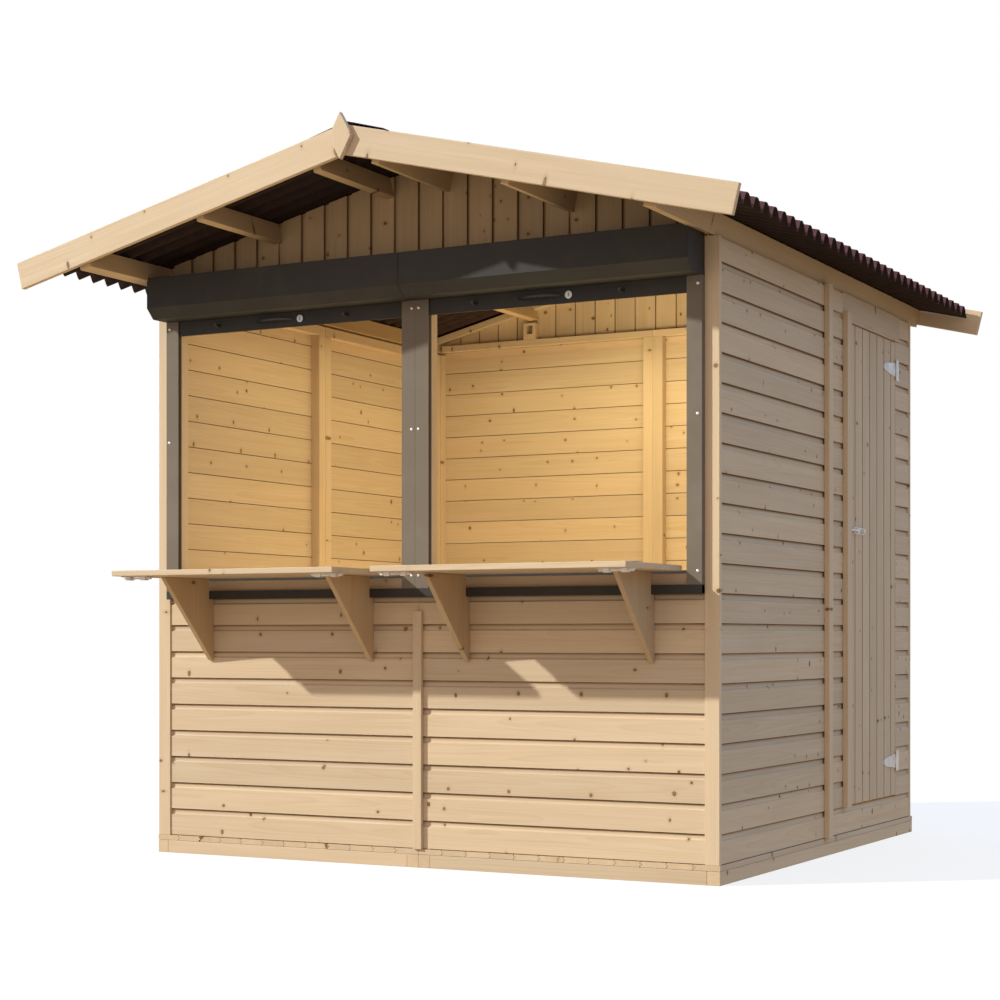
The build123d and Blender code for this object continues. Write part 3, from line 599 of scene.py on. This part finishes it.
def right_boards():
    """The door side: full boards in front, short ones beside the door, one long foot board and
    a plain board over the opening."""
    low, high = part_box("right_wall_front")
    shape = new_body()
    wall_panel(shape, "right", low.y, high.y, high.x, low.z, high.z)
    finish_piece("right_front_boards", shape, spruce, "hut", ("right_wall_front",))

    low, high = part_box("right_wall_rear")
    head_low, head_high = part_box("door_header")
    header_front = head_low.y - HEADER_FRONT_LAP
    header_rear = head_high.y + HEADER_REAR_LAP
    shape = new_body()
    wall_panel(shape, "right", low.y, high.y, high.x, low.z, high.z)
    piece = finish_piece("right_rear_boards", shape, spruce, "hut",
                         ("right_wall_rear",))
    doorway = ((low.x - PAST, head_low.y - BOARD_ROOM, low.z + COVER - 0.0001),
               (high.x + PAST, head_high.y + BOARD_ROOM, high.z + PAST))
    header_room = ((low.x - PAST, header_front - PANEL_ROOM, head_low.z),
                   (high.x + PAST, header_rear + PANEL_ROOM, high.z + PAST))
    carved(piece, box=doorway)
    carved(piece, box=header_room)

    shape = new_body()
    tall = high.z - head_low.z
    foot = 0.003
    outline = [(ARRIS, foot), (0.0, foot + ARRIS), (0.0, tall - ARRIS), (ARRIS, tall),
               (BOARD, tall), (BOARD, 0.0004), (SLOT_DEPTH, 0.0004), (SLOT_DEPTH, foot)]
    place = (Matrix.Translation((high.x, header_front, head_low.z))
             @ Matrix.Rotation(pi / 2, 4, "Z"))
    add_prism(shape, outline, header_rear - header_front, place)
    finish_piece("door_header_board", shape, spruce, "hut", ("door_header",))


def gable_boards(node, facing):
    """Upright boards cut off along both slopes and notched round the purlins."""
    low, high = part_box(node)
    shape = new_body()
    count = ceil((high.x - low.x) / COVER)
    start = -count * COVER / 2
    turned = Matrix(((0, 0, -1, 0), (0, 1, 0, 0), (1, 0, 0, 0), (0, 0, 0, 1)))
    if facing == "rear":
        turned = Matrix.Rotation(pi, 4, "Z") @ turned
    face = low.y if facing == "front" else high.y
    side = 1 if facing == "front" else -1
    outline = board_outline(inner_joint=GABLE_INNER_JOINT)
    for n in range(count):
        right_edge = (start + (n + 1) * COVER) * side
        place = Matrix.Translation((right_edge, face, low.z)) @ turned
        add_prism(shape, outline, high.z - low.z, place)
    if facing == "rear":
        cut_away(shape, (0, 0, low.z + REAR_WALL_RISE), (0, 0, -1))
    cut_away(shape, (low.x, 0, 0), (-1, 0, 0))
    cut_away(shape, (high.x, 0, 0), (1, 0, 0))
    for hand in (-1, 1):
        cut_away(shape, (0, 0, high.z), Vector((hand * SLOPE, 0, 1)).normalized())
    # The front gable, in shade under the overhang, takes the darker spruce copy: painted shade
    material = spruce_painted_shade if facing == "front" else spruce
    piece = finish_piece(node + "_boards", shape, material, "hut", (node,))
    carved(piece, ("ridge_purlins", "middle_purlins", "eave_purlins"))


def joint_strips():
    """Strips over the joints of the panels. The front one is the thinnest."""
    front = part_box("joint_trims")[0].y
    shape = new_body()
    copied(shape, "joint_trims")
    for v in shape.verts:
        if v.co.y < front + 0.001:
            v.co.y += STRIP_SINK
    for group in islands(shape):
        tell_grain(shape, group, Vector((0, 0, 1)))
    soften(shape, PLANED_EDGE)
    finish_piece("joint_strips", shape, spruce, "hut", ("joint_trims",))


# ---- floor -----------------------------------------------------------------------------------
def floor_planks():
    """Tongued boards from front to rear in two modules, their ends showing at the front."""
    low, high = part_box("floor_boards")
    bottom_room = 0.0010
    thick = high.z - low.z - bottom_room
    joint, count = 0.0022, 12
    tongue_low, tongue_high = thick * 0.32, thick * 0.68
    tongue, taper = 0.0065, 0.002
    turned = Matrix(((0, 0, 1, 0), (-1, 0, 0, 0), (0, -1, 0, 0), (0, 0, 0, 1)))
    shape = new_body()
    for left, right in ((low.x, -PANEL_ROOM), (PANEL_ROOM, high.x)):
        cover = (right - left) / count
        for n in range(count):
            outline = [(0.0, ARRIS), (ARRIS, 0.0), (tongue_low, 0.0)]
            if n > 0:
                outline += [(tongue_low + taper, tongue), (tongue_high - taper, tongue),
                            (tongue_high, 0.0)]
            edge = cover - joint if n < count - 1 else cover
            outline += [(thick, 0.0), (thick, edge), (tongue_high, edge)]
            if n < count - 1:
                outline += [(tongue_high - taper, edge + tongue),
                            (tongue_low + taper, edge + tongue)]
            outline += [(tongue_low, edge), (ARRIS, edge), (0.0, edge - ARRIS)]
            place = Matrix.Translation((left + n * cover, high.y, high.z)) @ turned
            add_prism(shape, outline, high.y - low.y, place)
    finish_piece("floor_planks", shape, spruce, "hut", ("floor_boards",))


# ---- door ------------------------------------------------------------------------------------
def door_planks():
    """Upright boards of the leaf, with narrow joints, the last one cut to the leaf's width."""
    low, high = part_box("door_leaf")
    outline = board_outline(DOOR_COVER, slot=0.0012, cove_height=0.006, cove_depth=0.004,
                            turn_height=0.003)
    shape = new_body()
    turned = Matrix(((0, -1, 0, 0), (0, 0, 1, 0), (-1, 0, 0, 0), (0, 0, 0, 1)))
    for n in range(ceil((high.y - low.y) / DOOR_COVER)):
        place = Matrix.Translation((high.x, low.y + n * DOOR_COVER, high.z)) @ turned
        add_prism(shape, outline, high.z - low.z, place)
    cut_away(shape, (0, high.y, 0), (0, 1, 0))
    finish_piece("door_planks", shape, spruce, "door", ("door_leaf",))


# ---- roof ------------------------------------------------------------------------------------
def roof_sheet(node):
    """Waves run down the slope. A grid is lifted into waves, sheared to the slope and given
    its thickness."""
    low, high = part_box(node)
    waves = round((high.y - low.y) / WAVE)
    inner = min(abs(low.x), abs(high.x))
    shape = new_body()
    bmesh.ops.create_grid(shape, x_segments=8, y_segments=waves * 16, size=0.5)
    middle = (low + high) / 2
    rise = high.z - (WAVE_RISE + SHEET_DROP)
    for v in shape.verts:
        x = middle.x + v.co.x * (high.x - low.x)
        y = v.co.y * (high.y - low.y)
        lift = ((1 - cos(2 * pi * (y / WAVE + waves / 2))) / 2) ** WAVE_FULLNESS
        lift += WAVE_FLATNESS * (lift * lift * (3 - 2 * lift) - lift)
        lift *= WAVE_RISE
        v.co = (x, middle.y + y, rise - SLOPE * (abs(x) - inner) + lift)
    bmesh.ops.recalc_face_normals(shape, faces=shape.faces)
    if shape.faces[0].normal.z < 0:
        bmesh.ops.reverse_faces(shape, faces=shape.faces)
    bmesh.ops.solidify(shape, geom=shape.faces[:], thickness=-SHEET)
    bmesh.ops.recalc_face_normals(shape, faces=shape.faces)
    finish_piece("corrugated_" + node, shape, bitumen, "hut", (node,), smooth=50)


# ---- screws and small parts ------------------------------------------------------------------
def add_screw(shape, place, outwards, radius, height):
    """A pan head with a drive recess, standing on a face."""
    turn = outwards.to_track_quat("Z", "Y").to_matrix().to_4x4()
    made = bmesh.ops.create_cone(shape, cap_ends=True, cap_tris=False, segments=14,
                                 radius1=radius, radius2=radius * 0.72, depth=height,
                                 matrix=Matrix.Translation(place) @ turn
                                 @ Matrix.Translation((0, 0, height / 2)))
    faces = {f for v in made["verts"] for f in v.link_faces}
    top = max(faces, key=lambda f: (f.calc_center_median() - place).dot(outwards)
              if len(f.verts) > 4 else -1)
    bmesh.ops.bevel(shape, geom=list(top.edges), offset=height * 0.35, segments=2,
                    profile=0.5, affect="EDGES", material=-1)
    top = max((f for f in shape.faces if f.is_valid and len(f.verts) >= 12
               and (f.calc_center_median() - place).length < radius),
              key=lambda f: (f.calc_center_median() - place).dot(outwards))
    bmesh.ops.inset_individual(shape, faces=[top], thickness=radius * 0.42, depth=0.0)
    bmesh.ops.inset_individual(shape, faces=[top], thickness=radius * 0.03, depth=-height * 0.5)


def guide_screws():
    """Screws down the faces of the shutter guides, two side by side on the middle pair."""
    low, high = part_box("shutter_guides")
    shape = bmesh.new()
    out = Vector((0, -1, 0))
    for z in GUIDE_SCREW_HEIGHTS:
        for x in (low.x + GUIDE_EDGE_TO_SCREW, -MIDDLE_TO_SCREW, MIDDLE_TO_SCREW,
                  high.x - GUIDE_EDGE_TO_SCREW):
            add_screw(shape, Vector((x, low.y, z)), out, 0.0062, 0.0030)
    finish_piece("guide_screws", shape, satin_aluminium, "hut", smooth=35)


def counter_shadow_rails():
    """A thin dark rail on each sill batten, behind the counter, so that no light shows under
    it; its dark colour is painted shade, standing for the contact shadow under the counter. It
    stays clear of the counter when that is folded up."""
    past_inner, past_outer = 0.017, 0.022
    behind, thick = 0.028, 0.010
    under, over = 0.0077, 0.0039
    shape = bmesh.new()
    for node in ("counter_left", "counter_right"):
        low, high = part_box(node)
        hand = 1 if low.x > 0 else -1
        inner, outer = sorted((low.x, high.x), key=abs)
        left, right = sorted((inner - hand * past_inner, outer + hand * past_outer))
        add_box(shape, (left, high.y + behind, low.z - under),
                (right, high.y + behind + thick, low.z + over))
    soften(shape, 0.001)
    finish_piece("counter_shadow_rails", shape, anthracite, "hut")


def painted_keyway_shade():
    """Black boxes in the lock faces' slots: painted shade, standing for the dark inside the key
    slots.
    """
    low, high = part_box("shutter_locks")
    lock_radius = 0.013
    half_slot = Vector((0.0013, 0.0008, 0.006))
    sunk = 0.0005
    shape = bmesh.new()
    for x in (low.x + lock_radius, high.x - lock_radius):
        centre = Vector((x, low.y + sunk, (low.z + high.z) / 2))
        add_box(shape, centre - half_slot, centre + half_slot)
    finish_piece("painted_keyway_shade", shape, black_moulding, "hut")


def hinge_screws():
    """Low heads on the T hinges, on the straps and on the wall plates."""
    out = Vector((1, 0, 0))
    strap_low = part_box("door_hinge_straps")[0]
    plate_low, plate_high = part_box("door_hinge_plates")
    strap_face, plate_face = strap_low.x + 0.003, plate_low.x + 0.003
    straps, plates = bmesh.new(), bmesh.new()
    for z in HINGE_HEIGHTS:
        for along, aside in STRAP_SCREWS:
            y = strap_low.y + STRAP_LENGTH - along
            add_screw(straps, Vector((strap_face, y, z + aside)), out, 0.0040, 0.0012)
        for aside in PLATE_SCREWS:
            y = plate_high.y - PLATE_EDGE_TO_SCREW
            add_screw(plates, Vector((plate_face, y, z + aside)), out, 0.0040, 0.0012)
    finish_piece("hinge_strap_screws", straps, zinc, "door", smooth=35)
    finish_piece("hinge_plate_screws", plates, zinc, "hut", smooth=35)


front_boards()
rear_boards()
left_boards()
right_boards()
gable_boards("front_gable", "front")
gable_boards("rear_gable", "rear")
floor_planks()
door_planks()
roof_sheet("roof_sheet_left")
roof_sheet("roof_sheet_right")
joint_strips()
for node in ("floor_rails", "corner_trims", "door_batten", "left_wall_frame",
             "right_wall_frame", "front_wall_frame", "rear_wall_frame", "hatch_frame",
             "gable_frames"):
    dressed(node)
# Purlins in shade under the roof take the darker spruce copy: painted shade
for node in ("eave_purlins", "middle_purlins", "ridge_purlins"):
    dressed(node, spruce_painted_shade)
dressed("front_barge_boards", edge=WIDE_EDGE)
dressed("rear_barge_boards", edge=WIDE_EDGE)
dressed("finials", grain=(0, 0, 1), edge=WIDE_EDGE)
# The brackets, in shade under the counters, take the darker spruce copy: painted shade
dressed("counter_brackets", spruce_painted_shade, grain=(0, 0, 1), edge=0.0018)
dressed("counter_left", body="counter_left_flap", edge=WIDE_EDGE)
dressed("counter_right", body="counter_right_flap", edge=WIDE_EDGE)
dressed("door_ledges", body="door")
for node in ("shutter_boxes", "shutter_end_caps", "shutter_bars", "hatch_sill"):
    dressed(node, anthracite, edge=METAL_EDGE)
dressed("shutter_guides", warm_grey, edge=METAL_EDGE)
dressed("ridge_cap", bitumen, edge=0.001)
dressed("shutter_locks", satin_aluminium, edge=0.0005)
counter_shadow_rails()
painted_keyway_shade()
guide_screws()
hinge_screws()

# Pieces that show as they are
for node, material in (("shutter_pulls", black_moulding), ("counter_ironwork_left", zinc),
                       ("counter_ironwork_right", zinc), ("counter_hinge_plates", zinc),
                       ("door_hinge_straps", zinc), ("door_hinge_plates", zinc),
                       ("door_latch", zinc)):
    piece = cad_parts[node]
    for place in piece.material_slots:
        place.material = material
    if not piece.material_slots:
        piece.data.materials.append(material)


# ---- floor, light and camera -----------------------------------------------------------------
def stage_floor():
    """A plain pale floor that doesn't colour the hut."""
    shape = bmesh.new()
    bmesh.ops.create_grid(shape, x_segments=1, y_segments=1, size=60.0)
    mesh = bpy.data.meshes.new("studio_floor")
    shape.to_mesh(mesh)
    shape.free()
    material, shader, wire, place = start_finish("studio_floor")
    tone = place.noise(0.6, 2.0).mix((0.21, 0.21, 0.21), (0.23, 0.23, 0.23))
    feed(wire, shader, tone, 0.9 + place.noise(4.0) * 0.05)
    shader.inputs["Emission Color"].default_value = (0.77, 0.765, 0.76, 1.0)
    shader.inputs["Emission Strength"].default_value = 1.0
    mesh.materials.append(material)
    floor = bpy.data.objects.new("studio_floor", mesh)
    bpy.context.scene.collection.objects.link(floor)
    floor.visible_diffuse = False
    floor.visible_glossy = False


def sunlight():
    """A clear sun from the front left."""
    sun = bpy.data.lights.new("sun", "SUN")
    sun.energy = 3.65
    sun.color = (0.97, 1.0, 0.92)
    sun.angle = radians(1.2)
    lamp = bpy.data.objects.new("sun", sun)
    lamp.rotation_euler = Vector((0.667, 0.542, -0.514)).to_track_quat("-Z", "Y").to_euler()
    bpy.context.scene.collection.objects.link(lamp)


def cabin_lights():
    """Soft warm light inside the hut, from the floor, from the roof and onto the rear gable."""
    for name, place, towards, size, power in (
            ("cabin_light_low", (0.0, 0.16, 0.12), (0, 0, 1), (1.7, 1.6), 22.5),
            ("cabin_light_high", (0.0, 0.16, 2.04), (0, 0, -1), (1.7, 1.6), 12.0),
            ("gable_light", (0.35, 0.35, 1.80), (0, 1, 0.40), (1.0, 0.3), 5.5)):
        glow = bpy.data.lights.new(name, "AREA")
        glow.shape = "RECTANGLE"
        glow.size, glow.size_y = size
        glow.energy = power
        glow.color = (1.0, 0.88, 0.50)
        panel = bpy.data.objects.new(name, glow)
        panel.location = place
        panel.rotation_euler = Vector(towards).to_track_quat("-Z", "Y").to_euler()
        panel.visible_camera = False
        bpy.context.scene.collection.objects.link(panel)


def sky():
    """Blue from above, warm from below, with pale haze in front of the hatches."""
    world = bpy.data.worlds.new("studio")
    bpy.context.scene.world = world
    world.use_nodes = True
    tree = world.node_tree
    tree.nodes.clear()
    wire = Wire(tree)
    seen = wire.node("LightPath", {}, {}, "Is Camera Ray")
    towards = wire.node("TexCoord", {}, {}, "Generated")
    height = towards.maths("DOT_PRODUCT", (0.0, 0.0, 1.0), output="Value").between(-0.25, 0.35)
    haze = towards.maths("DOT_PRODUCT", (0.0, -0.94, 0.34), output="Value").between(0.45, 0.95)
    sky_tint = haze.mix(height.mix((0.52, 0.42, 0.30), (0.45, 0.65, 0.94)), (0.77, 0.66, 0.55))
    colour = seen.mix(sky_tint, (1.0, 1.0, 1.0))
    glow = wire.node("Background", {}, {"Color": colour, "Strength": 1.0}, "Background")
    out = tree.nodes.new("ShaderNodeOutputWorld")
    tree.links.new(glow.socket, out.inputs["Surface"])


def camera():
    """A view from the front right, at chest height."""
    lens = bpy.data.cameras.new("view")
    lens.lens = 73.33
    lens.sensor_width = 36.0
    lens.shift_y = 0.1376
    view = bpy.data.objects.new("view", lens)
    view.location = (3.5424, -6.8838, 0.7884)
    view.rotation_euler = (radians(90), 0.0, radians(28.178))
    bpy.context.scene.collection.objects.link(view)
    bpy.context.scene.camera = view


stage_floor()
sunlight()
cabin_lights()
sky()
camera()
bpy.context.scene.view_settings.view_transform = "Standard"
